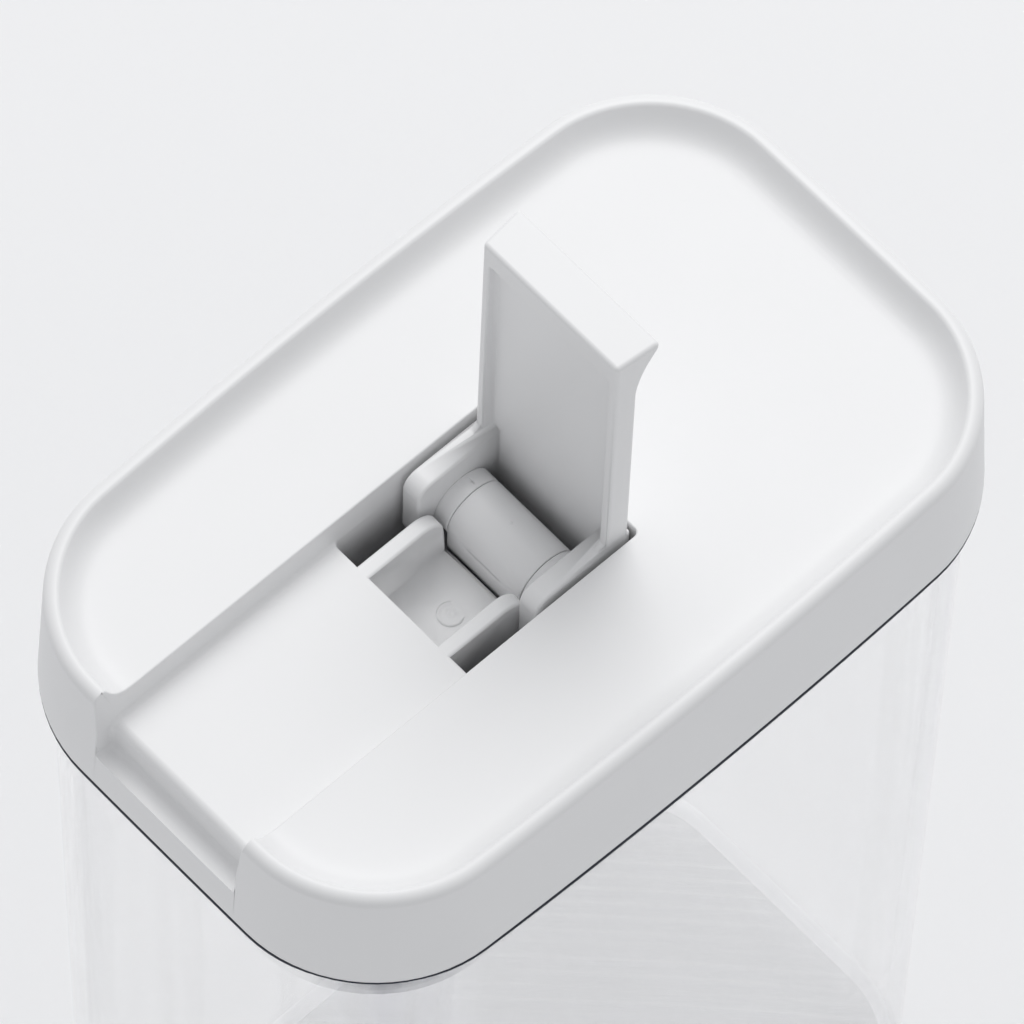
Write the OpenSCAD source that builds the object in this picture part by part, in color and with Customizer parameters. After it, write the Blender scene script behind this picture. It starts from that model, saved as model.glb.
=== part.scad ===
// Lidded canister: a clear tapered body and a moulded lid with a folding lever.
// Folding the lever forwards turns an eccentric journal that pulls the drum, stem
// and pressing plate up, and the silicone ring between plate and liner then swells
// outwards against the glass. Millimetres, +Z up, base on z = 0, lever at +Y side
// of its channel, channel open towards -Y.

/* [Body] */
// Height of the glass from its base to the lid's lower edge
body_h = 225; // [120:1:270]
// Thickness of the glass wall
glass_t = 3; // [2:0.1:4.5]
// Thickness of the glass base
base_t = 5; // [3:0.5:9]
// How much the wall leans in from the lid down to the base
body_taper = 3.2; // [0:0.1:5]
// How far the glass stands up inside the lid's skirt
glass_rise = 4.5; // [3:0.1:5]

/* [Lid] */
// Width of the lid across X
lid_w = 100; // [84:1:130]
// Length of the lid along Y
lid_l = 157.4; // [135:1:200]
// Radius of the lid's corners in plan
lid_corner_r = 27; // [20:1:36]
// How far the long sides bulge outwards
side_bow = 2.45; // [0:0.05:4]
// How far the short sides bulge outwards
end_bow = 0.3; // [0:0.05:2]
// Height of the rim's crest above the lid's lower edge
lid_h = 26.8; // [24:0.1:34]
// Depth of the dished top below the rim's crest
dish_depth = 4.6; // [3:0.1:7]
// Thickness of the lid's walls
lid_t = 2; // [1.6:0.1:2.4]
// Height of the dark edge seal under the skirt
skirt_seal_h = 1; // [0.4:0.1:1.5]
// Gap between the skirt's inside and the glass
skirt_gap = 0.4; // [0.3:0.05:1]

/* [Lever channel] */
// Width of the channel at its top
channel_w = 35.2; // [33:0.1:43]
// Depth of the channel below the dish
channel_depth = 6; // [5.6:0.1:7]
// Sideways lean of each channel wall over its depth
channel_lean = 0.6; // [0.2:0.05:1]
// Height of the finger ledge above the lid's lower edge
ledge_h = 9; // [6:0.1:12]
// Depth of the finger ledge, measured from the lid's front
ledge_d = 4.3; // [4:0.1:8]
// Distance from the hinge axis to the well's front wall
well_front = 24.1; // [20:0.1:30]
// Thickness of each rib in the well
rib_t = 3; // [2:0.1:4]
// Clear width between the two ribs
rib_gap = 16.8; // [12:0.1:17.5]
// Length of each rib
rib_l = 17.1; // [12:0.1:17.1]
// Height of the pocket floor between the ribs, above the lid's lower edge
pocket_h = 3.8; // [3:0.1:8]

/* [Lever] */
// Length of the lever from the hinge axis to its tip
lever_l = 72.8; // [55:0.1:73]
// Thickness of the lever's plate
plate_t = 3.1; // [1.6:0.1:3.2]
// Depth of the tray in front of the plate
tray_d = 1.6; // [1.3:0.1:2]
// Width of the rims beside the tray
flange_t = 1.8; // [1.4:0.1:3]
// Depth of the wall at the lever's tip
tip_wall = 5.5; // [3:0.1:8]
// How far the lip stands out behind the tip
lip_d = 4.2; // [3:0.1:4.5]
// Thickness of each hinge arm
arm_t = 4.1; // [3.2:0.1:4.2]
// Gap between the lever and the channel's walls
lever_gap = 0.7; // [0.4:0.05:1.2]

/* [Hinge and cam] */
// Distance of the hinge axis in front of the lid's middle
hinge_back = 0.9; // [0:0.1:2]
// Depth of the hinge axis below the dish
hinge_drop = 12.5; // [11.7:0.1:12.7]
// Radius of the steel hinge pin
pin_r = 1.25; // [1:0.05:1.3]
// Radial running clearance of the hinge pin
pin_gap = 0.05; // [0.02:0.01:0.1]
// How far the lever's fold lifts the drum
cam_lift = 2; // [1.6:0.1:2]
// Radius of the drum and of the cam discs
drum_r = 6; // [5.9:0.1:6.3]
// Length of the drum
drum_l = 17.7; // [14:0.1:18]
// Radius of the eccentric journal
journal_r = 3.3; // [3.2:0.05:3.35]

/* [Plug] */
// Radius of the stem
stem_r = 3.5; // [3:0.1:4]
// Height of the silicone ring when it is relaxed
seal_h = 5.4; // [4.5:0.1:8]
// Width of the silicone ring's section
seal_w = 5.5; // [4:0.1:8]
// Gap between the relaxed silicone ring and the glass
seal_gap = 0.6; // [0.3:0.05:1]
// Thickness of the pressing plate
press_t = 3; // [3:0.1:4]
// Radius of the liner screws' shanks
screw_r = 1.45; // [1.2:0.05:1.8]

/* [Hidden] */

$fn = 64;
eps = 0.01;

// Colours
white = [0.93, 0.93, 0.94];
white_inner = [0.88, 0.88, 0.9];
clear = [0.85, 0.87, 0.93, 0.35];
slate = [0.22, 0.24, 0.3];
silicone = [0.9, 0.91, 0.92];
steel = [0.7, 0.71, 0.73];

// Heights above the base
lid_z = body_h;
dish_h = lid_h - dish_depth;
channel_h = dish_h - channel_depth;
hinge_h = dish_h - hinge_drop;

// Plan of the lid, its glass and its plug: insets from the lid's outer edge
skirt_lean = 1.15;
rim_out_r = 2;
rim_in_r = 1;
rim_turn = 65;
slope_w = 8;
slope_curve = 4.26;
ledge_lean = 0.04;
glass_in = lid_t + skirt_gap;
plug_in = glass_in + glass_t + 1;
seal_in = glass_in + glass_t + seal_gap;

// Channel and well
channel_top = channel_w / 2;
channel_bot = channel_top - channel_lean;
hinge_y = -hinge_back;
hinge_z = lid_z + hinge_h;
well_x = channel_bot;
wall_x = channel_top + 1;
well_y0 = hinge_y - well_front;
rib_x = rib_gap / 2 + rib_t;
well_corner = 1.5;

// Lever, upright: distances in front of (-) and behind (+) the hinge axis
back_r = hinge_drop - 0.6;
well_y1 = hinge_y + back_r + 0.6;
front_d = back_r - plate_t - tray_d;
flank_out = 0.3;
arm_x = well_x - lever_gap;
lever_x = arm_x + flank_out;
arm_in = arm_x - arm_t;
arm_front = 9.6;
arm_top = 11.9;
arm_low = -5.7;
arm_corner = 3;
tail_angle = 45;
arm_low_r = 11.2;
foot_fillet = 3;
flank_lean = 0.6;

// Eccentric: its centre sits this far behind and below the hinge axis when upright
throw_yz = cam_lift / 2;
throw_r = throw_yz * sqrt(2);
journal_gap = 0.08;
key_s = 6;
key_l = 2.8;
dowel_r = 0.8;
dowel_l = 2.5;
bush_r = 3.4;
bush_flange = 1.2;

// Plug, from the liner down
liner_t = 2.4;
liner_z0 = lid_z - 4.4;
liner_wall = 1.8;
flange_in = glass_in + 0.35;
flange_h = 1.7;
boss_r = 7;
boss_top = lid_z + 0.9;
seal_z0 = liner_z0 - seal_h;
press_z0 = seal_z0 - press_t;
press_boss_r = 9;
press_boss_top = seal_z0 + 2.3;
neck_z0 = lid_z + 1.5;
apron_z0 = lid_z + pocket_h - 2.4;
neck_x = 6;
neck_y = 4;
spigot_r = 2.2;
spigot_l = 2.5;
ring_r = 0.9;
ring_mid = stem_r + 0.02 + ring_r;
ring_z = lid_z - 0.65;

// Screws
head_r = 2.8;
head_h = 1.4;
liner_screw_l = 11;
screw_boss_r = 3.6;
screw_xy = [for (sx = [-1, 1], ky = [-1, 0, 1]) [sx * (lid_w / 2 - 15), ky * (lid_l / 2 - 26)]];
recess_r = 5.5;
washer_t = 0.6;
stem_head_h = 1.6;
stem_screw_r = 1.6;
stem_screw_l = 9;
cover_t = 0.75;

// Outline steps: along a corner, a long side and a short side
corner_n = 10;
long_n = 8;
short_n = 4;

// ---- Plan outline --------------------------------------------------------

function corner_arc(cx, cy, r, a0) =
    [for (i = [0:corner_n - 1]) let (a = a0 + 90 * i / corner_n) [cx + r * cos(a), cy + r * sin(a)]];

function straight(p, q, n) = [for (i = [0:n - 1]) p + (q - p) * i / n];

function rounded(a, b, r) = concat(
    straight([a, -(b - r)], [a, b - r], long_n), corner_arc(a - r, b - r, r, 0),
    straight([a - r, b], [-(a - r), b], short_n), corner_arc(-(a - r), b - r, r, 90),
    straight([-a, b - r], [-a, -(b - r)], long_n), corner_arc(-(a - r), -(b - r), r, 180),
    straight([-(a - r), -b], [a - r, -b], short_n), corner_arc(a - r, -(b - r), r, 270));

// The lid's outline set in by d, with its sides bowed outwards
function outline(d) =
    let (a = lid_w / 2 - side_bow - d, b = lid_l / 2 - end_bow - d)
    [for (p = rounded(a, b, lid_corner_r - d))
        [p.x + side_bow * (1 - pow(p.y / b, 2)) * p.x / a, p.y + end_bow * (1 - pow(p.x / a, 2)) * p.y / b]];

outline_n = 4 * corner_n + 2 * long_n + 2 * short_n;

// Skin through rings of the outline. Each station is [inset, height]. The rings run up
// the outside and down the inside in one loop, which the flat ends at rings top and
// top + 1 interrupt.
module shell(stations, top) {
    n = outline_n;
    m = len(stations);
    function band(i, k) = [for (j = [0:n - 1]) let (j2 = (j + 1) % n)
        each [[i * n + j, k * n + j, k * n + j2], [i * n + j, k * n + j2, i * n + j2]]];
    points = [for (s = stations) each [for (p = outline(s[0])) [p.x, p.y, s[1]]]];
    faces = concat(
        [for (i = [0:m - 2]) if (i != top) each band(i, i + 1)],
        band(m - 1, 0),
        [[for (j = [n - 1:-1:0]) top * n + j]],
        [[for (j = [0:n - 1]) (top + 1) * n + j]]);
    polyhedron(points, faces, convexity = 8);
}

module slab(d, z0, h) translate([0, 0, z0]) linear_extrude(h) polygon(outline(d));

module band_ring(d_out, d_in, z0, h) difference() {
    slab(d_out, z0, h);
    slab(d_in, z0 - 1, h + 2);
}

// A box given by its corners
module block(lo, hi) translate(lo) cube(hi - lo);

// A box with upright rounded corners
module round_block(x, y0, y1, z0, z1, r) {
    block([-x + r, y0, z0], [x - r, y1, z1]);
    block([-x, y0 + r, z0], [x, y1 - r, z1]);
    for (sx = [-1, 1], y = [y0 + r, y1 - r]) translate([sx * (x - r), y, z0]) cylinder(r = r, h = z1 - z0);
}

// A rod along X between two places, centred on y and z
module rod_x(x0, x1, r, y = hinge_y, z = hinge_z)
    translate([x0, y, z]) rotate([0, 90, 0]) cylinder(r = r, h = x1 - x0);

// A (y, z) outline stretched along X between two places
module plate_x(x0, x1) translate([x0, 0, 0]) rotate([90, 0, 90]) linear_extrude(x1 - x0) children();

module mirror_pair() {
    children();
    mirror([1, 0, 0]) children();
}

// ---- Body ----------------------------------------------------------------

module glass_body() {
    top_z = body_h + glass_rise;
    out_base = glass_in + body_taper;
    in_base = out_base + glass_t;
    in_top = glass_in + glass_t;
    foot_r = 3;
    foot_k = foot_r * (1 - cos(45));
    lip = 0.8;
    color(clear) shell([
        [in_top - lip, top_z], [in_top, top_z - lip], [in_top, body_h], [in_base, base_t + foot_r],
        [in_base + foot_k, base_t + foot_k], [in_base + foot_r, base_t],
        [out_base + foot_r, 0], [out_base + foot_k, foot_k], [out_base, foot_r],
        [glass_in, body_h], [glass_in, top_z - lip], [glass_in + lip, top_z]], 5);
}

// ---- Lid -----------------------------------------------------------------

// Outside of the lid: skirt, rounded rim, then a hollow slope down to the dish
function lid_outer() =
    let (z = lid_z + lid_h, d0 = skirt_lean + rim_out_r, d1 = d0 + rim_in_r * sin(rim_turn),
         z1 = z - rim_in_r * (1 - cos(rim_turn)), fall = z1 - lid_z - dish_h)
    concat(
        [[0, lid_z], [skirt_lean / 2, lid_z + (lid_h - rim_out_r) / 2]],
        [for (i = [0:4]) let (a = 90 * i / 4)
            [skirt_lean + rim_out_r * (1 - cos(a)), z - rim_out_r + rim_out_r * sin(a)]],
        [for (i = [1:2]) let (a = rim_turn * i / 2)
            [d0 + rim_in_r * sin(a), z - rim_in_r * (1 - cos(a))]],
        [for (i = [1:6]) let (t = i / 6) [d1 + slope_w * t, z1 - fall * (1 - pow(1 - t, slope_curve))]]);

function lid_inner() = let (z = lid_z + lid_h - lid_t, s = skirt_lean) [
    [s + 10.4, lid_z + dish_h - lid_t], [s + 6.5, z - dish_depth * 0.95],
    [s + 4, z - dish_depth * 0.75], [s + 2.45, z - 1.4],
    [s + lid_t - 0.1, z - 2.2], [lid_t, lid_z]];

module lid_shell() {
    o = lid_outer();
    shell(concat(o, lid_inner()), len(o) - 1);
}

// Channel outline across X, from a floor at z0 up past the rim
module channel_cut(y0, y1, z0, slope = channel_lean / channel_depth) {
    x0 = channel_top - (lid_z + dish_h - z0) * slope;
    x1 = channel_top + (lid_h - dish_h + 2) * slope;
    z1 = lid_z + lid_h + 2;
    translate([0, y1, 0]) rotate([90, 0, 0]) linear_extrude(y1 - y0)
        polygon([[-x0, z0], [x0, z0], [x1, z1], [-x1, z1]]);
}

// Solid cheeks that close the hollow rim where the channel runs out through it
module cheeks(x0, x1) mirror_pair() plate_x(x0, x1) polygon(concat(
    [for (s = lid_outer()) if (s[1] > lid_z + ledge_h) [-lid_l / 2 + s[0] + 0.5, s[1] - 0.5]],
    [[-lid_l / 2 + 12, lid_z + channel_h - 1], [-lid_l / 2 + 1.5, lid_z + channel_h - 1],
     [-lid_l / 2 + 1.5, lid_z + ledge_h]]));

module rib() {
    z0 = lid_z + pocket_h - 1.5;
    z1 = lid_z + channel_h;
    y0 = well_y0 - 1;
    y1 = well_y0 + rib_l;
    r = 5;
    plate_x(rib_gap / 2, rib_x) {
        translate([y0, z0]) square([y1 - r - y0, z1 - z0]);
        translate([y0, z0]) square([y1 - y0, z1 - r - z0]);
        translate([y1 - r, z1 - r]) circle(r);
    }
}

module lid_cover() color(white) {
    front = -lid_l / 2;
    step_y = front + ledge_d;
    floor_z = lid_z + channel_h;
    difference() {
        union() {
            lid_shell();
            // channel tray, finger ledge and well walls, before they are hollowed
            block([-wall_x, front + 2.7, floor_z - lid_t], [wall_x, well_y0, lid_z + dish_h - 0.7]);
            block([-wall_x, front + 1.7, lid_z + ledge_h - lid_t], [wall_x, step_y + 1.8, floor_z - 0.5]);
            block([-wall_x, well_y0 - lid_t, lid_z - 1.2], [wall_x, well_y1 + 1.8, lid_z + dish_h - 0.7]);
            cheeks(channel_bot - 1, wall_x);
            for (p = screw_xy) translate([p.x, p.y, liner_z0 + liner_t])
                cylinder(r = screw_boss_r, h = lid_z + dish_h - 1 - liner_z0 - liner_t);
        }
        channel_cut(front - 5, well_y0 + 5, floor_z);
        channel_cut(well_y0, well_y1, floor_z);
        channel_cut(front - 5, step_y, lid_z + ledge_h, ledge_lean);
        round_block(well_x, well_y0, well_y1, lid_z - 3, floor_z + 1, well_corner);
        rod_x(-wall_x - 3, wall_x + 3, bush_r);
        for (p = screw_xy) translate([p.x, p.y, liner_z0]) cylinder(r = screw_r + 0.05, h = liner_t + 12);
    }
    mirror_pair() rib();
    block([-rib_x, well_y0 - 1, lid_z + pocket_h - 1.5], [rib_x, hinge_y - drum_r - 0.5, lid_z + pocket_h]);
}

module skirt_seal() color(slate) band_ring(0.15, lid_t - 0.1, lid_z - skirt_seal_h, skirt_seal_h);

module lid_liner() color(white_inner) {
    rest_z = body_h + glass_rise;
    difference() {
        union() {
            difference() {
                union() {
                    slab(plug_in, liner_z0, rest_z + flange_h - liner_z0);
                    slab(flange_in, rest_z, flange_h);
                }
                slab(plug_in + liner_wall, liner_z0 + liner_t, rest_z + 3 - liner_z0 - liner_t);
            }
            translate([0, hinge_y, liner_z0]) cylinder(r = boss_r, h = boss_top - liner_z0);
        }
        for (p = screw_xy) translate([p.x, p.y, liner_z0 - 1]) {
            cylinder(r = screw_r + 0.15, h = liner_t + 2);
            cylinder(r = head_r + 0.1, h = 1 + head_h);
        }
        translate([0, hinge_y, ring_z - ring_r - 0.05])
            cylinder(r = ring_mid + ring_r + 0.05, h = 2 * ring_r + 0.1);
        stem_bore();
    }
}

module stem_bore() translate([0, hinge_y, liner_z0 - 1]) cylinder(r = stem_r + 0.08, h = 12);

module liner_screws() color(steel) for (p = screw_xy) translate([p.x, p.y, liner_z0]) {
    cylinder(r = head_r, h = head_h);
    cylinder(r = screw_r, h = liner_screw_l);
}

module hinge_bush() color(white_inner) {
    difference() {
        union() {
            rod_x(well_x, wall_x + bush_flange, bush_r);
            rod_x(wall_x, wall_x + bush_flange, bush_r + 1.4);
        }
        rod_x(well_x - 1, wall_x + bush_flange + 1, pin_r + pin_gap);
    }
}

module hinge_bush_right() hinge_bush();

module hinge_bush_left() mirror([1, 0, 0]) hinge_bush();

module stem_seal() color(slate) translate([0, hinge_y, ring_z])
    rotate_extrude() translate([ring_mid, 0]) circle(ring_r);

module plug_seal() color(silicone) band_ring(seal_in, seal_in + seal_w, seal_z0, seal_h);

// ---- Lever, standing upright ----------------------------------------------

// Side view of one hinge arm about the hinge axis: a block with a rounded top front
// corner, whose underside stays inside a circle so that it clears the liner
module arm_profile() {
    r = arm_corner;
    translate([-arm_front, 0]) square([arm_front, arm_top - r]);
    translate([-arm_front + r, 0]) square([arm_front - r, arm_top]);
    translate([-arm_front + r, arm_top - r]) circle(r);
    translate([-eps, 0]) square([back_r + eps, arm_top]);
    intersection() {
        translate([-arm_front, arm_low]) square([arm_front, -arm_low + eps]);
        circle(arm_low_r);
    }
    intersection() {
        translate([-eps, arm_low]) square([back_r, -arm_low + eps]);
        circle(back_r);
    }
}

// Hollow fillet between the top of an arm and the flange above it
module foot_profile() difference() {
    translate([front_d - foot_fillet, arm_top - eps]) square([foot_fillet + eps, foot_fillet]);
    translate([front_d - foot_fillet, arm_top + foot_fillet]) circle(foot_fillet);
}

// The curved tail that closes the well behind the hinge
module tail_profile() difference() {
    intersection() {
        circle(back_r);
        polygon([[0, 0], [2 * back_r, 0], [2 * back_r, -2 * back_r * sin(tail_angle)],
                 [2 * back_r * cos(tail_angle), -2 * back_r * sin(tail_angle)]]);
    }
    circle(back_r - plate_t);
}

module lever() color(white) {
    root_z = arm_top - eps;
    tip_z = lever_l;
    xf = lever_x - flank_lean;
    difference() {
        translate([0, hinge_y, hinge_z]) union() {
            // tray, from the arms up to the tip
            difference() {
                translate([0, 0, root_z]) linear_extrude(tip_z - root_z)
                    polygon([[-xf, front_d], [xf, front_d], [lever_x, back_r], [-lever_x, back_r]]);
                block([-xf + flange_t, front_d - 1, root_z - 1],
                      [xf - flange_t, front_d + tray_d, tip_z - tip_wall]);
            }
            // lip behind the tip
            plate_x(-lever_x, lever_x) polygon(concat(
                [[back_r - 1, tip_z], [back_r - 1, tip_z - 9.3]],
                [for (a = [0:12:60])
                    [back_r + lip_d * (1 - cos(a)) / 0.5, tip_z - 9.3 + 7.8 * sin(a) / sin(60)]],
                [[back_r + lip_d, tip_z]]));
            // arms, plate and tail below
            mirror_pair() plate_x(arm_in, arm_x) arm_profile();
            mirror_pair() plate_x(xf - flange_t, xf) foot_profile();
            block([-arm_x, front_d + tray_d, 0], [arm_x, back_r, root_z + eps]);
            plate_x(-arm_x, arm_x) tail_profile();
        }
        rod_x(-arm_x - 1, arm_x + 1, pin_r + 0.02);
        mirror_pair() block([arm_in - 1, hinge_y - key_s / 2 - 0.02, hinge_z - key_s / 2 - 0.02],
                            [arm_in + key_l + 0.1, hinge_y + key_s / 2 + 0.02, hinge_z + key_s / 2 + 0.02]);
    }
}

// One half of the cam: disc, key into the arm and half of the eccentric journal
module cam_half() difference() {
    union() {
        rod_x(drum_l / 2 + 0.1, arm_in, drum_r);
        rod_x(0.05, drum_l / 2 + 0.2, journal_r, hinge_y + throw_yz, hinge_z - throw_yz);
        block([arm_in - 0.2, hinge_y - key_s / 2, hinge_z - key_s / 2],
              [arm_in + key_l, hinge_y + key_s / 2, hinge_z + key_s / 2]);
    }
    rod_x(-1, arm_x, pin_r + 0.02);
}

module cam_right() color(white) difference() {
    cam_half();
    rod_x(-1, dowel_l + 0.2, dowel_r + 0.05, hinge_y + 2 * throw_yz, hinge_z - 2 * throw_yz);
}

module cam_left() color(white) {
    mirror([1, 0, 0]) cam_half();
    rod_x(-1, dowel_l, dowel_r, hinge_y + 2 * throw_yz, hinge_z - 2 * throw_yz);
}

module hinge_pin() color(steel) rod_x(-channel_top - 2, channel_top + 2, pin_r);

// ---- Drum, stem and plate -------------------------------------------------

module drum() color(white) {
    x = drum_l / 2;
    y1 = hinge_y + throw_yz;
    y2 = hinge_y + throw_r;
    z = hinge_z - throw_yz;
    r = journal_r + journal_gap;
    difference() {
        union() {
            rod_x(-x, x, drum_r);
            block([-x, hinge_y - drum_r, apron_z0], [x, hinge_y - drum_r / 2, hinge_z]);
            block([-neck_x, hinge_y - neck_y, neck_z0], [neck_x, hinge_y + neck_y, hinge_z - drum_r / 2]);
        }
        rod_x(-x - 1, x + 1, r, y1, z);
        rod_x(-x - 1, x + 1, r, y2, z);
        block([-x - 1, y1, z - r], [x + 1, y2, z + r]);
        translate([0, hinge_y, neck_z0 - 1]) cylinder(r = spigot_r, h = spigot_l + 1);
    }
}

module stem() color(white_inner) translate([0, hinge_y, 0]) difference() {
    union() {
        translate([0, 0, press_boss_top]) cylinder(r = stem_r, h = neck_z0 - press_boss_top);
        translate([0, 0, press_boss_top]) cylinder(r = spigot_r, h = neck_z0 + spigot_l - press_boss_top);
    }
    translate([0, 0, press_boss_top - 1]) cylinder(r = stem_screw_r + 0.05, h = stem_screw_l + 1);
}

module pressing_plate() color(white_inner) {
    keeper_in = seal_in + seal_w + 0.5;
    difference() {
        union() {
            slab(plug_in + 0.2, press_z0, press_t);
            translate([0, hinge_y, press_z0]) cylinder(r = press_boss_r, h = press_boss_top - press_z0);
            band_ring(keeper_in, keeper_in + 1.5, seal_z0 - 0.5, 0.5 + seal_h - cam_lift - 0.8);
        }
        translate([0, hinge_y, press_z0 - 1]) {
            cylinder(r = recess_r, h = 1 + press_t);
            cylinder(r = stem_screw_r + 0.2, h = 12);
        }
    }
}

module stem_washer() color(steel) translate([0, hinge_y, seal_z0 - washer_t]) difference() {
    cylinder(r = recess_r - 0.5, h = washer_t);
    translate([0, 0, -1]) cylinder(r = stem_screw_r + 0.2, h = washer_t + 2);
}

module stem_screw() color(steel) translate([0, hinge_y, seal_z0 - washer_t - stem_head_h]) {
    cylinder(r = recess_r - 1.5, h = stem_head_h);
    cylinder(r = stem_screw_r, h = stem_head_h + washer_t + stem_screw_l);
}

module screw_cover() color(silicone) translate([0, hinge_y, press_z0]) cylinder(r = recess_r, h = cover_t);

glass_body();
lid_cover();
skirt_seal();
lid_liner();
liner_screws();
hinge_bush_left();
hinge_bush_right();
stem_seal();
plug_seal();
lever();
cam_left();
cam_right();
hinge_pin();
drum();
stem();
pressing_plate();
stem_washer();
stem_screw();
screw_cover();
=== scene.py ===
"""Looks for a clear canister with a white dished lid and a folding lever.

Each piece rides on the body of the node it stands for.
"""
import math

import bmesh
import bpy
from mathutils import Matrix, Vector


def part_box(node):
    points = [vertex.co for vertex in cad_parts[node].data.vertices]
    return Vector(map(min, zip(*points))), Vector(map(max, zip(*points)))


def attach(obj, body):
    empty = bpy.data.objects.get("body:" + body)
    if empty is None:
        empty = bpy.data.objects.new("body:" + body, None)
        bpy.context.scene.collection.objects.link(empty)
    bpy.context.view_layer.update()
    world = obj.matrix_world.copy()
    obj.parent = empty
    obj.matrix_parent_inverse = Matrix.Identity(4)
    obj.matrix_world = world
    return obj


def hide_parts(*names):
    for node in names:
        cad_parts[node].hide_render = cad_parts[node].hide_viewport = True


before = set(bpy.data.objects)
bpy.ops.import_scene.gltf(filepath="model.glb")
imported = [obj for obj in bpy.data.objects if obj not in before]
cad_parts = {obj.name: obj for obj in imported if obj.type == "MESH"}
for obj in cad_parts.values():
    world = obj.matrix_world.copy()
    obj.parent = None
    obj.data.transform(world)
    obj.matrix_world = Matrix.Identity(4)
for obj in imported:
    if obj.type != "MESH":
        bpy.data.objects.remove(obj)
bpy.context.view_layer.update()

MM = 0.001


def node_box(name):
    """Lowest and highest corner of a node, in millimetres."""
    low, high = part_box(name)
    return Vector(low) / MM, Vector(high) / MM


# ---- Sizes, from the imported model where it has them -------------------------

LID_LOW, LID_HIGH = node_box("lid_cover")
EDGE_Z = node_box("skirt_seal")[1].z
LID_W = LID_HIGH.x - LID_LOW.x
LID_L = LID_HIGH.y - LID_LOW.y
CREST = LID_HIGH.z - EDGE_Z
CORNER_R = 27
SIDE_BOW = 2.45                      # how far the long sides bulge
END_BOW = 0.3                        # how far the short sides bulge

# heights above the skirt's lower edge
DISH = CREST - 4.6
FLOOR = DISH - 6                     # floor of the lever's channel
LEDGE = 9                            # floor of the finger notch
POCKET = 3.8                         # floor of the well between the ribs

LEDGE_BACK = -LID_L / 2 + 4.3
CHANNEL_HALF = 17
CHANNEL_LEAN = 0.1                   # how far the channel's walls lean out, per mm of height
AXIS = Vector((0, -0.9, EDGE_Z + 9.7))
WELL_FRONT = AXIS.y - 24.1
WELL_BACK = AXIS.y + 12.5
RIB_IN = 8.4
RIB_OUT = 11.4
RIB_BACK = WELL_FRONT + 17.1

GLASS_HIGH = node_box("glass_body")[1]
GLASS_INSET = LID_HIGH.x - GLASS_HIGH.x
GLASS_WALL = 3
GLASS_TAPER = 3.2
GLASS_FLOOR = 5


# ---- Mesh helpers -----------------------------------------------------------

X, Y, Z = 0, 1, 2


def lowest(edge, axis):
    return min(v.co[axis] for v in edge.verts)


def highest(edge, axis):
    return max(v.co[axis] for v in edge.verts)


def span(edge, axis):
    return highest(edge, axis) - lowest(edge, axis)


def once_each(items):
    """The items without repeats, in the order they come."""
    return list(dict.fromkeys(items))


def bevel(bm, geom, offset, segments=4, affect="EDGES"):
    bmesh.ops.bevel(bm, geom=geom, offset=offset, offset_type="OFFSET", segments=segments,
                    profile=0.5, affect=affect, clamp_overlap=False, material=-1)


def angle_of(edge):
    return edge.calc_face_angle_signed(0.0)


def sharp_edges(bm, degrees=30, convex_only=False):
    limit = math.radians(degrees)
    return [e for e in bm.edges if (angle_of(e) if convex_only else abs(angle_of(e))) > limit]


def box(low, high):
    """A block between two corners."""
    low, high = Vector(low), Vector(high)
    size = high - low
    place = Matrix.Translation((low + high) / 2) @ Matrix.Diagonal((size.x, size.y, size.z, 1))
    bm = bmesh.new()
    bmesh.ops.create_cube(bm, size=1, matrix=place)
    return bm


def slab(x0, x1, outline, rounds=()):
    """A (y, z) outline stretched along X. rounds gives a radius to some of its corners."""
    bm = bmesh.new()
    corners = [bm.verts.new((x0, y, z)) for y, z in outline]
    bm.faces.new(corners)
    for index, radius in rounds:
        bevel(bm, [corners[index]], radius, segments=8, affect="VERTICES")
    made = bmesh.ops.extrude_face_region(bm, geom=bm.faces[:])["geom"]
    far_side = [g for g in made if isinstance(g, bmesh.types.BMVert)]
    bmesh.ops.translate(bm, verts=far_side, vec=(x1 - x0, 0, 0))
    bmesh.ops.recalc_face_normals(bm, faces=bm.faces)
    return bm


def rod(x0, x1, radius, centre, rounding=0.0, sides=96):
    """A round bar along X, with rounded ends."""
    turn = Matrix.Rotation(math.radians(90), 4, "Y")
    place = Matrix.Translation(((x0 + x1) / 2, centre.y, centre.z)) @ turn
    bm = bmesh.new()
    bmesh.ops.create_cone(bm, cap_ends=True, segments=sides, radius1=radius, radius2=radius,
                          depth=x1 - x0, matrix=place)
    if rounding:
        bevel(bm, sharp_edges(bm, 60), rounding, segments=4)
    return bm


def oblong(inset, z0, z1, corner_steps=18):
    """A block with the lid's rounded and bowed outline, set in by inset."""
    half_x = LID_W / 2 - SIDE_BOW - inset
    half_y = LID_L / 2 - END_BOW - inset
    radius = CORNER_R - inset
    bm = box((-half_x, -half_y, z0), (half_x, half_y, z1))
    upright = [e for e in bm.edges if span(e, Z) > 1e-4]
    bevel(bm, upright, radius, segments=corner_steps)
    for across, half, cuts in ((Vector((0, 1, 0)), half_y - radius, 27),
                               (Vector((1, 0, 0)), half_x - radius, 11)):
        for cut in range(1, cuts + 1):
            sides = [f for f in bm.faces
                     if abs(f.normal.z) < 0.5 and abs(f.normal.dot(across)) < 1e-4]
            geom = once_each(g for f in sides for g in (f, *f.edges, *f.verts))
            bmesh.ops.bisect_plane(bm, geom=geom, dist=1e-4, plane_no=across,
                                   plane_co=across * half * (2 * cut / (cuts + 1) - 1))
    for v in bm.verts:
        x, y = v.co.x, v.co.y
        v.co.x += SIDE_BOW * (1 - (y / half_y) ** 2) * x / half_x
        v.co.y += END_BOW * (1 - (x / half_x) ** 2) * y / half_y
    return bm


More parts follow.
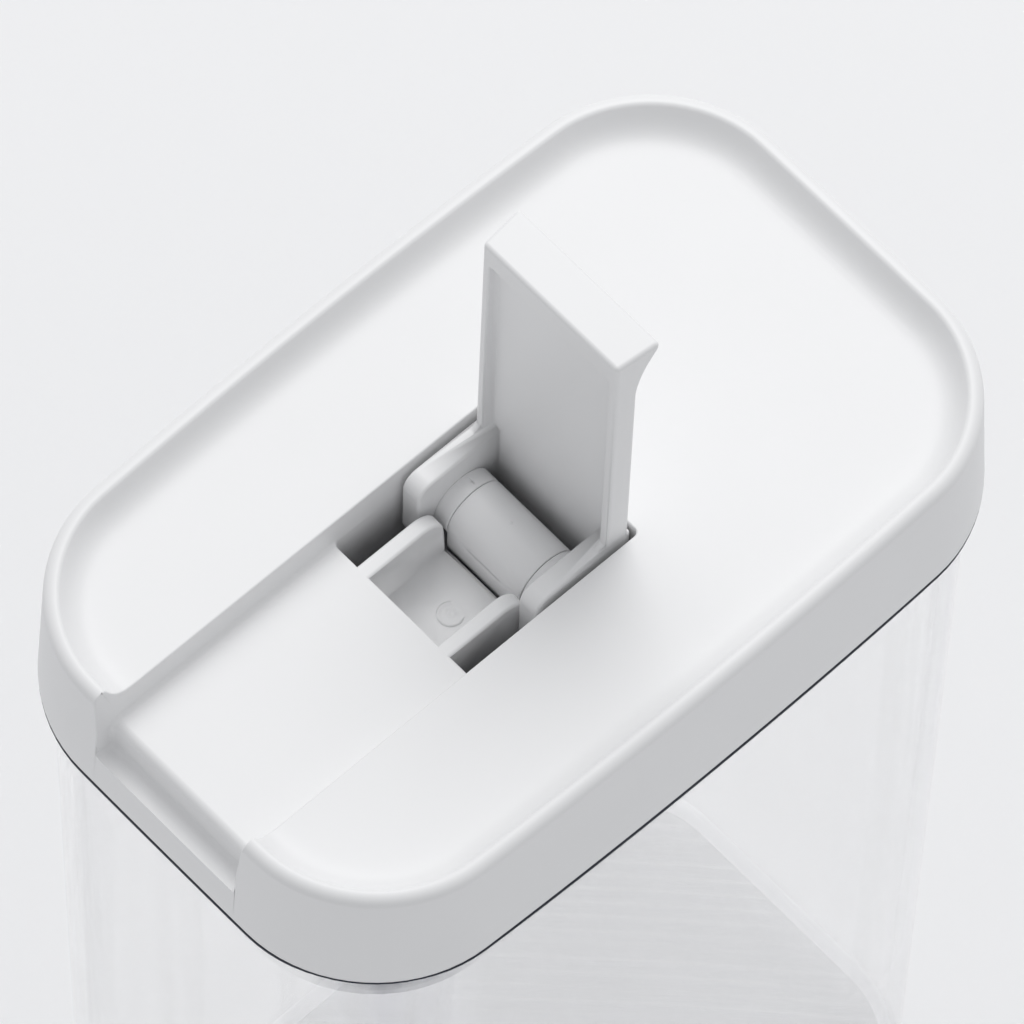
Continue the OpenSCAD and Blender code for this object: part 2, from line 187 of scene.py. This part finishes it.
def end_face(bm, sign):
    """The flat end of a block: the top one for sign 1, the bottom one for sign -1."""
    return max(bm.faces, key=lambda f: (round(sign * f.calc_center_median().z, 3), f.calc_area()))


def step_in(bm, face, steps):
    """Carries an end face inwards ring by ring. Each step is (inset, travel along the face)."""
    for inset, travel in steps:
        bmesh.ops.inset_region(bm, faces=[face], thickness=inset, depth=travel,
                               use_even_offset=True, use_boundary=True)


# a slanting direction, square to none of the model's faces
SWEEP = Vector((0.7351, 0.5923, 0.3298))


def settle(bm):
    """Puts the elements in an order that depends only on where they lie."""
    bm.verts.sort(key=lambda v: v.co.dot(SWEEP))
    bm.edges.sort(key=lambda e: (e.verts[0].co + e.verts[1].co).dot(SWEEP))
    bm.faces.sort(key=lambda f: f.calc_center_median().dot(SWEEP))


def raw_object(bm, name="scratch"):
    settle(bm)
    mesh = bpy.data.meshes.new(name)
    bm.to_mesh(mesh)
    bm.free()
    obj = bpy.data.objects.new(name, mesh)
    bpy.context.scene.collection.objects.link(obj)
    return obj


def combine(base, tool, operation):
    """base joined with, or cut by, tool. Both are consumed."""
    body = raw_object(base)
    cutter = raw_object(tool)
    step = body.modifiers.new("combine", "BOOLEAN")
    step.operation = operation
    step.solver = "EXACT"
    step.object = cutter
    depsgraph = bpy.context.evaluated_depsgraph_get()
    bm = bmesh.new()
    bm.from_mesh(body.evaluated_get(depsgraph).to_mesh())
    for obj in (body, cutter):
        mesh = obj.data
        bpy.data.objects.remove(obj)
        bpy.data.meshes.remove(mesh)
    bmesh.ops.remove_doubles(bm, verts=bm.verts, dist=0.002)
    settle(bm)
    bmesh.ops.dissolve_limit(bm, angle_limit=math.radians(0.02), verts=bm.verts, edges=bm.edges)
    return bm


def finish(bm, name, body, material, stands_for):
    """Turns a mesh in millimetres into a finished piece in metres."""
    bmesh.ops.scale(bm, vec=(MM, MM, MM), verts=bm.verts)
    for face in bm.faces:
        face.smooth = True
    piece = raw_object(bm, name)
    piece.data.name = name
    piece.data.materials.append(material)
    shading = piece.modifiers.new("even shading", "WEIGHTED_NORMAL")
    shading.weight = 50
    shading.keep_sharp = True
    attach(piece, body)
    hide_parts(*stands_for)


# ---- Materials --------------------------------------------------------------

def principled(name, colour, roughness):
    material = bpy.data.materials.new(name)
    material.use_nodes = True
    shader = material.node_tree.nodes["Principled BSDF"]
    shader.inputs["Base Color"].default_value = (*colour, 1)
    shader.inputs["Roughness"].default_value = roughness
    return material, shader


def node(material, kind, operation=None, **constants):
    """A new node of the material, with constants on its sockets."""
    made = material.node_tree.nodes.new("ShaderNode" + kind)
    if operation:
        made.operation = operation
    for socket, value in constants.items():
        made.inputs[socket.replace("_", " ")].default_value = value
    return made


def link(source, output, target, socket):
    source.id_data.links.new(source.outputs[output], target.inputs[socket])


def ramp(material, low, high):
    """A colour ramp between two ends, each a place and a colour."""
    made = node(material, "ValToRGB")
    for element, (position, colour) in zip(made.color_ramp.elements, (low, high)):
        element.position = position
        element.color = (*colour, 1)
    return made


def moulded(name, colour, roughness=0.42, grain=0.05, tint=0.012):
    """Satin moulded plastic: a fine grain in the surface and a faint drift in tone."""
    material, shader = principled(name, colour, roughness)
    place = node(material, "TexCoord")
    drift = node(material, "TexNoise", Scale=22, Detail=3)
    link(place, "Object", drift, "Vector")
    tone = ramp(material, (0.3, [c * (1 - tint) for c in colour]),
                (0.7, [min(1, c * (1 + tint)) for c in colour]))
    link(drift, "Fac", tone, "Fac")
    link(tone, "Color", shader, "Base Color")
    fine = node(material, "TexNoise", Scale=2600, Detail=2)
    link(place, "Object", fine, "Vector")
    bump = node(material, "Bump", Strength=grain, Distance=0.00006)
    link(fine, "Fac", bump, "Height")
    link(bump, "Normal", shader, "Normal")
    sheen = node(material, "MapRange", To_Min=roughness - 0.04, To_Max=roughness + 0.05)
    link(fine, "Fac", sheen, "Value")
    link(sheen, "Result", shader, "Roughness")
    return material


def clear_wall(name):
    """Clear wall: a faint cool tint, slow upright waves, and streaks that thicken at its corners,
    painted in as grey refraction streaks.
    """
    tint = (0.955, 0.955, 0.975)
    material, shader = principled(name, tint, 0.02)
    shader.inputs["Transmission Weight"].default_value = 1
    shader.inputs["IOR"].default_value = 1.46
    place = node(material, "TexCoord")

    tall = node(material, "Mapping", Scale=(1, 1, 0.05))
    link(place, "Object", tall, "Vector")
    waves = node(material, "TexNoise", Scale=30, Detail=0.5)
    link(tall, "Vector", waves, "Vector")
    bump = node(material, "Bump", Strength=0.12, Distance=0.0002)
    link(waves, "Fac", bump, "Height")
    link(bump, "Normal", shader, "Normal")

    # x times y is large only near the upright corners
    apart = node(material, "SeparateXYZ")
    link(place, "Object", apart, "Vector")
    product = node(material, "Math", "MULTIPLY")
    link(apart, "X", product, 0)
    link(apart, "Y", product, 1)
    size = node(material, "Math", "ABSOLUTE")
    link(product, "Value", size, 0)
    near = node(material, "MapRange", From_Min=0.00225, From_Max=0.0027)
    link(size, "Value", near, "Value")

    thin = node(material, "Mapping", Scale=(1, 1, 0.02))
    link(place, "Object", thin, "Vector")
    streak = node(material, "TexNoise", Scale=260, Detail=2)
    link(thin, "Vector", streak, "Vector")
    # painted refraction streaks near the corners: they grey the wall's colour and make it less clear
    painted_refraction_streaks = node(material, "Math", "MULTIPLY")
    link(near, "Result", painted_refraction_streaks, 0)
    link(streak, "Fac", painted_refraction_streaks, 1)
    cover = node(material, "MapRange", From_Max=0.7, To_Min=0.16, To_Max=0.8)
    link(painted_refraction_streaks, "Value", cover, "Value")
    link(cover, "Result", shader, "Alpha")
    painted_streak_shade = ramp(material, (0, tint), (0.7, (0.7, 0.7, 0.74)))
    link(painted_refraction_streaks, "Value", painted_streak_shade, "Fac")
    link(painted_streak_shade, "Color", shader, "Base Color")
    return material


def metal(name, colour):
    """Plain stainless steel with fine turning marks."""
    material, shader = principled(name, colour, 0.3)
    shader.inputs["Metallic"].default_value = 1
    place = node(material, "TexCoord")
    marks = node(material, "TexNoise", Scale=1500)
    link(place, "Object", marks, "Vector")
    rough = node(material, "MapRange", To_Min=0.22, To_Max=0.4)
    link(marks, "Fac", rough, "Value")
    link(rough, "Result", shader, "Roughness")
    return material


WHITE = moulded("satin white plastic", (0.87, 0.87, 0.873))
INNER = moulded("inner white plastic", (0.74, 0.74, 0.76), roughness=0.48)
# dark rubber for the stem seal; on the ring under the skirt it also paints the shadow in the gap under
# the lid
SLATE_SEAL_AND_GAP_SHADE = moulded("slate rubber and painted gap shadow", (0.016, 0.02, 0.034), roughness=0.85, grain=0.12, tint=0.1)
SILICONE = moulded("pale silicone", (0.66, 0.67, 0.69), roughness=0.55, grain=0.08)
CLEAR = clear_wall("clear body")
STEEL = metal("stainless steel", (0.56, 0.57, 0.58))


# ---- Lid --------------------------------------------------------------------

def rim_steps():
    """From the skirt's lower edge up over the rim and down its hollow slope to the dish."""
    outer_r, inner_r, turn, lean = 2.0, 1.0, 65, 1.15
    top = CREST - outer_r
    places = [(0.0, 0.35), (lean / 2, top / 2), (lean, top)]
    for step in range(1, 8):
        a = math.radians(90 * step / 7)
        places.append((lean + outer_r * (1 - math.cos(a)), top + outer_r * math.sin(a)))
    for step in range(1, 6):
        a = math.radians(turn * step / 5)
        places.append((lean + outer_r + inner_r * math.sin(a), CREST - inner_r * (1 - math.cos(a))))
    start_in, start_z = places[-1]
    fall, width, power = start_z - DISH, 8.0, 4.26
    for step in range(1, 13):
        t = step / 12
        places.append((start_in + width * t, start_z - fall * (1 - (1 - t) ** power)))
    return [(b[0] - a[0], b[1] - a[1]) for a, b in zip(places, places[1:])]


def lean_out(bm):
    """Gives upright channel walls their lean above the channel's floor."""
    level = EDGE_Z + FLOOR
    geom = bm.verts[:] + bm.edges[:] + bm.faces[:]
    bmesh.ops.bisect_plane(bm, geom=geom, dist=1e-4, plane_co=(0, 0, level), plane_no=(0, 0, 1))
    for v in bm.verts:
        if v.co.z > level + 1e-3:
            v.co.x += math.copysign((v.co.z - level) * CHANNEL_LEAN, v.co.x)


def channel_tool():
    """What the lever's channel, its finger ledge and the well take out of the lid."""
    z = EDGE_Z
    front = -LID_L / 2 - 10
    top = z + CREST + 12
    outline = [(front, z + LEDGE), (LEDGE_BACK, z + LEDGE), (LEDGE_BACK, z + FLOOR),
               (WELL_FRONT, z + FLOOR), (WELL_FRONT, z - 10), (WELL_BACK, z - 10),
               (WELL_BACK, top), (front, top)]
    bm = slab(-CHANNEL_HALF, CHANNEL_HALF, outline, rounds=((1, 1.4), (2, 1.6), (3, 0.45)))
    sides = [f for f in bm.faces if abs(f.normal.x) > 0.99]
    rims = [e for e in once_each(e for f in sides for e in f.edges)
            if lowest(e, Z) < top - 1 and highest(e, Y) > front + 0.1]
    bevel(bm, rims, 1.0, segments=4)
    lean_out(bm)
    return bm


def lid_mesh():
    bm = oblong(0, EDGE_Z, EDGE_Z + 0.35)
    step_in(bm, end_face(bm, 1), rim_steps())
    step_in(bm, end_face(bm, -1), ((1.95, 0), (0.02, -7.3)))
    bmesh.ops.recalc_face_normals(bm, faces=bm.faces)
    well = box((-CHANNEL_HALF - 1.6, WELL_FRONT - 2, EDGE_Z - 1.2),
               (CHANNEL_HALF + 1.6, WELL_BACK + 1.8, EDGE_Z + 12))
    bm = combine(bm, well, "UNION")
    bm = combine(bm, channel_tool(), "DIFFERENCE")
    above_ledge = [e for e in sharp_edges(bm, 32, convex_only=True)
                   if lowest(e, Z) > EDGE_Z + LEDGE + 1.3]
    bevel(bm, above_ledge, 0.3, segments=3)
    return bm


def crisp_ledge(bm):
    """Keeps the front edge of the finger ledge crisp in the shading."""
    for edge in sharp_edges(bm, 25, convex_only=True):
        level = EDGE_Z + 8.5 < lowest(edge, Z) and highest(edge, Z) < EDGE_Z + LEDGE + 1.5
        if level and highest(edge, Y) < LEDGE_BACK - 2:
            edge.smooth = False


def rib_mesh(side):
    z = EDGE_Z
    front, foot, top = WELL_FRONT - 1.2, z + POCKET - 1.4, z + FLOOR - 0.02
    outline = [(front, foot), (RIB_BACK, foot), (RIB_BACK, top), (front, top)]
    x0, x1 = sorted((side * RIB_IN, side * RIB_OUT))
    bm = slab(x0, x1, outline, rounds=((2, 5.0),))
    rims = [e for e in sharp_edges(bm, 60) if lowest(e, Z) > z + POCKET and span(e, X) < 0.01]
    bevel(bm, rims, 0.6, segments=4)
    return bm


def upright_rod(centre, radius, depth, sides=48):
    bm = bmesh.new()
    bmesh.ops.create_cone(bm, cap_ends=True, segments=sides, radius1=radius, radius2=radius,
                          depth=depth, matrix=Matrix.Translation(centre))
    return bm


def gate_mark():
    """The round moulding mark on the floor between the ribs."""
    bm = upright_rod((1.0, AXIS.y - 14.3, EDGE_Z + POCKET), 2.4, 0.3)
    rings = ((0.5, 0), (0.2, -0.1), (0.75, 0), (0.2, 0.1), (0.3, 0), (0.1, -0.06))
    step_in(bm, end_face(bm, 1), rings)
    return bm


lid = lid_mesh()
for side in (-1, 1):
    lid = combine(lid, rib_mesh(side), "UNION")
pocket = box((-RIB_OUT, WELL_FRONT - 1.2, EDGE_Z + POCKET - 1.5),
             (RIB_OUT, AXIS.y - 6.5, EDGE_Z + POCKET))
lid = combine(lid, pocket, "UNION")
lid = combine(lid, gate_mark(), "UNION")
crisp_ledge(lid)
finish(lid, "lid_top", "lid", WHITE, ["lid_cover"])


# ---- Dark seal under the skirt, partly painted gap shadow -------------------

# height of the dark ring, which paints the shadow in the gap under the skirt as well as the seal
SEAL_AND_SHADOW_DEPTH = 0.7


def seal_and_gap_shadow():
    """A thin dark ring, partly a seal and partly painted shadow of the gap between lid and body, a
    little deeper along the sides than round the corners.
    """
    bm = oblong(0.03, EDGE_Z - SEAL_AND_SHADOW_DEPTH, EDGE_Z)
    for sign in (1, -1):
        step_in(bm, end_face(bm, sign), ((1.75, 0),))
    inner = [end_face(bm, 1), end_face(bm, -1)]
    loops = [e for f in inner for e in f.edges]
    bmesh.ops.delete(bm, geom=inner, context="FACES_ONLY")
    bmesh.ops.bridge_loops(bm, edges=loops)
    # painted shade: the ring hangs deeper along the sides, where the shadow in the gap looks deeper
    for v in bm.verts:
        if v.co.z < EDGE_Z - 0.1:
            long_side = max(0, 1 - (v.co.y / 62) ** 6) * (abs(v.co.x) > 40)
            short_side = max(0, 1 - (v.co.x / 34) ** 4) * (abs(v.co.y) > 68)
            v.co.z -= SEAL_AND_SHADOW_DEPTH * min(1, long_side + short_side)
    bmesh.ops.recalc_face_normals(bm, faces=bm.faces)
    return bm


finish(seal_and_gap_shadow(), "seal_and_gap_shadow", "lid", SLATE_SEAL_AND_GAP_SHADE, ["skirt_seal"])


# ---- Clear body -------------------------------------------------------------

def body_mesh():
    top = GLASS_HIGH.z
    lip, foot, neck = 0.9, 3.0, 1.6
    bm = oblong(GLASS_INSET, top - neck, top - lip)
    down = EDGE_Z - foot
    foot_arc = []
    last = (0.0, 0.0)
    for step in range(1, 7):
        a = math.radians(90 * step / 6)
        place = (foot * (1 - math.cos(a)), foot * math.sin(a))
        foot_arc.append((place[0] - last[0], place[1] - last[1]))
        last = place
    outer_wall = [(GLASS_TAPER / 8, down / 8)] * 8
    step_in(bm, end_face(bm, -1), [(0, top - neck - EDGE_Z)] + outer_wall + foot_arc)
    inner_down = EDGE_Z - GLASS_FLOOR - foot
    rounding = [(lip * 0.3, lip * 0.7), (lip * 0.7, lip * 0.3), (GLASS_WALL - 2 * lip, 0),
                (lip * 0.7, -lip * 0.3), (lip * 0.3, -lip * 0.7), (0, -(top - lip - EDGE_Z))]
    inner_wall = [(GLASS_TAPER / 8, -inner_down / 8)] * 8
    inner_foot = [(a, -b) for a, b in foot_arc]
    step_in(bm, end_face(bm, 1), rounding + inner_wall + inner_foot)
    return bm


finish(body_mesh(), "clear_body", "canister", CLEAR, ["glass_body"])


# ---- Lever ------------------------------------------------------------------

# measured from the hinge, with the lever upright
LEVER_FRONT = 7.2
LEVER_BACK = 11.9
LEVER_TIP = 72.8
LIP_BACK = LEVER_BACK + 4.2
LIP_LOW, LIP_HIGH = 64.6, 71.2
LEVER_HALF = 16.0
FLANGE = 1.8
TRAY = 1.6
TIP_WALL = 5.5
ARM_IN, ARM_OUT = 12.2, 16.3
ARM_FRONT, ARM_TOP = -9.6, 11.9
LEVER_LEAN = 0.0102


def at_axis(outline):
    return [(AXIS.y + y, AXIS.z + z) for y, z in outline]


def tray_mesh():
    """The upright tray with the lip at its tip, hollowed at the front."""
    foot = 8.5
    outline = at_axis([(LEVER_FRONT, foot), (LEVER_BACK, foot), (LEVER_BACK, LIP_LOW),
                       (LIP_BACK, LIP_HIGH), (LIP_BACK, LEVER_TIP), (LEVER_FRONT, LEVER_TIP)])
    bm = slab(-LEVER_HALF, LEVER_HALF, outline, rounds=((2, 5.0),))
    for v in bm.verts:
        v.co.x *= 1 + 0.1 * (v.co.y - AXIS.y - LEVER_FRONT) / LEVER_HALF
        v.co.y -= LEVER_LEAN * (AXIS.z + LEVER_TIP - v.co.z)
    bevel(bm, sharp_edges(bm, 25, convex_only=True), 0.85, segments=5)
    half = LEVER_HALF - FLANGE
    hollow = box((-half, AXIS.y - 20, AXIS.z - 20),
                 (half, AXIS.y + LEVER_FRONT + TRAY, AXIS.z + LEVER_TIP - TIP_WALL))
    back = [e for e in hollow.edges if highest(e, Y) > AXIS.y - 19]
    bevel(hollow, back, 0.8, segments=4)
    bm = combine(bm, hollow, "DIFFERENCE")
    front = AXIS.y + LEVER_FRONT
    mouth = [e for e in sharp_edges(bm, 40, convex_only=True)
             if all(front - 0.7 < v.co.y < front + 0.05 and abs(v.co.x) < half + 0.1
                    for v in e.verts)]
    bevel(bm, mouth, 0.45, segments=3)
    return bm


def arm_mesh(side):
    foot = -5.7
    outline = at_axis([(ARM_FRONT, -3.6), (ARM_FRONT, ARM_TOP), (LEVER_BACK, ARM_TOP),
                       (LEVER_BACK, 0), (10.45, foot), (ARM_FRONT + 1, foot)])
    x0, x1 = sorted((side * ARM_IN, side * ARM_OUT))
    bm = slab(x0, x1, outline, rounds=((1, 3.2),))
    bevel(bm, sharp_edges(bm, 25, convex_only=True), 0.6, segments=4)
    return bm


def foot_mesh(side):
    """Hollow fillet where a flange rises from its arm."""
    front, face, back = LEVER_FRONT - 3.6, LEVER_FRONT + 0.1, LEVER_FRONT + 1.2
    low, top, high = ARM_TOP - 1.5, ARM_TOP - 0.1, ARM_TOP + 3.6
    outline = at_axis([(front, low), (back, low), (back, high), (face, high), (face, top), (front, top)])
    x0, x1 = sorted((side * (LEVER_HALF - FLANGE + 0.35), side * (LEVER_HALF - 0.35)))
    return slab(x0, x1, outline, rounds=((4, 3.2),))


def tail_mesh():
    """The plate behind the hinge, straight in front and rounded about the hinge behind."""
    x = ARM_OUT - 0.1
    front = AXIS.y + LEVER_FRONT + TRAY
    plate = box((-x, front, AXIS.z - 0.5), (x, AXIS.y + LEVER_BACK - 0.5, AXIS.z + 11))
    bevel(plate, [e for e in plate.edges if lowest(e, Z) > AXIS.z + 5], 0.3, segments=2)
    round_part = rod(-x, x, LEVER_BACK - 0.02, AXIS)
    kept = box((-x - 1, front, AXIS.z - 20), (x + 1, AXIS.y + 20, AXIS.z))
    return combine(plate, combine(round_part, kept, "INTERSECT"), "UNION")


lever = tray_mesh()
for side in (-1, 1):
    lever = combine(lever, arm_mesh(side), "UNION")
    lever = combine(lever, foot_mesh(side), "UNION")
lever = combine(lever, tail_mesh(), "UNION")
finish(lever, "lever_arm", "lever", WHITE, ["lever"])


# ---- Drum and cams ----------------------------------------------------------

DRUM_R = 6
DRUM_HALF = 8.85


def drum_mesh():
    """The barrel, with a straight wall that goes down from its front into the well."""
    front, foot = AXIS.y - DRUM_R, EDGE_Z + 1.5
    end = DRUM_HALF - 0.02
    bm = rod(-DRUM_HALF, DRUM_HALF, DRUM_R, AXIS, rounding=0.25)
    wall = box((-end, front, foot), (end, AXIS.y - DRUM_R / 2, AXIS.z))
    bm = combine(bm, wall, "UNION")
    neck = box((-6, AXIS.y - 4, foot), (6, AXIS.y + 4, AXIS.z - 3))
    bm = combine(bm, neck, "UNION")
    line = box((-4.1, front - 1, AXIS.z - 0.85), (4.1, front + 0.7, AXIS.z - 0.4))
    bm = combine(bm, line, "DIFFERENCE")
    spot = bmesh.new()
    place = Matrix.Translation((-0.4, AXIS.y + 0.4, AXIS.z + DRUM_R - 0.22))
    bmesh.ops.create_uvsphere(spot, u_segments=24, v_segments=12, radius=0.42, matrix=place)
    return combine(bm, spot, "UNION")


def disc_mesh(side):
    """A cam disc. The left one has a small pin mark on top."""
    x0, x1 = sorted((side * (DRUM_HALF + 0.1), side * (ARM_IN + 0.05)))
    bm = rod(x0, x1, DRUM_R, AXIS, rounding=0.3)
    if side < 0:
        pin = upright_rod((-10.45, AXIS.y + 0.9, AXIS.z + DRUM_R), 0.24, 0.8, sides=24)
        bm = combine(bm, pin, "DIFFERENCE")
    return bm


finish(drum_mesh(), "drum_barrel", "plate", WHITE, ["drum"])
for side, cam in ((-1, "cam_left"), (1, "cam_right")):
    finish(disc_mesh(side), cam + "_disc", "lever", WHITE, [cam])


# ---- Materials of the nodes that stay ---------------------------------------

KEPT = {INNER: ("lid_liner", "hinge_bush_left", "hinge_bush_right", "stem", "pressing_plate"),
        STEEL: ("liner_screws", "hinge_pin", "stem_washer", "stem_screw"),
        SILICONE: ("plug_seal", "screw_cover"),
        SLATE_SEAL_AND_GAP_SHADE: ("stem_seal",)}
for material, names in KEPT.items():
    for name in names:
        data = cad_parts[name].data
        data.materials.clear()
        data.materials.append(material)


# ---- Floor, light and camera ------------------------------------------------

def stage_floor():
    bm = bmesh.new()
    bmesh.ops.create_grid(bm, x_segments=2, y_segments=2, size=6)
    floor = raw_object(bm, "floor")
    floor.data.materials.append(principled("pale floor", (0.93, 0.93, 0.935), 0.7)[0])


def soft_light(name, size, power, place, aim=(0, 0, 0.19)):
    data = bpy.data.lights.new(name, "AREA")
    data.shape = "SQUARE"
    data.size = size
    data.energy = power
    lamp = bpy.data.objects.new(name, data)
    lamp.location = place
    lamp.rotation_euler = (Vector(aim) - Vector(place)).to_track_quat("-Z", "Y").to_euler()
    bpy.context.scene.collection.objects.link(lamp)


def pale_room():
    world = bpy.data.worlds.new("studio")
    world.use_nodes = True
    background = world.node_tree.nodes["Background"]
    background.inputs["Color"].default_value = (0.93, 0.94, 0.96, 1)
    background.inputs["Strength"].default_value = 0.56
    bpy.context.scene.world = world
    bpy.context.scene.view_settings.view_transform = "Standard"


def camera():
    """Looks down from the front right, a little rolled, through a long lens."""
    turn, height, roll = math.radians(45.566), math.radians(62.256), math.radians(1.895)
    target = Vector((-7.62, 6.80, EDGE_Z)) * MM
    distance = 2340.7 * MM
    back = Vector((math.sin(turn) * math.cos(height),
                   -math.cos(turn) * math.cos(height),
                   math.sin(height)))
    level = Vector((math.cos(turn), math.sin(turn), 0))
    right = math.cos(roll) * level + math.sin(roll) * back.cross(level)
    up = back.cross(right)
    data = bpy.data.cameras.new("camera")
    data.sensor_width = 36
    data.lens = 36 * 14000 / 1024
    data.clip_start = 0.1
    data.clip_end = 30
    facing = Matrix((right, up, back)).transposed().to_4x4()
    view = bpy.data.objects.new("camera", data)
    view.matrix_world = Matrix.Translation(target + back * distance) @ facing
    bpy.context.scene.collection.objects.link(view)
    bpy.context.scene.camera = view


stage_floor()
camera()
soft_light("top light", 1.6, 24, (-0.7, 0.9, 1.94))
pale_room()
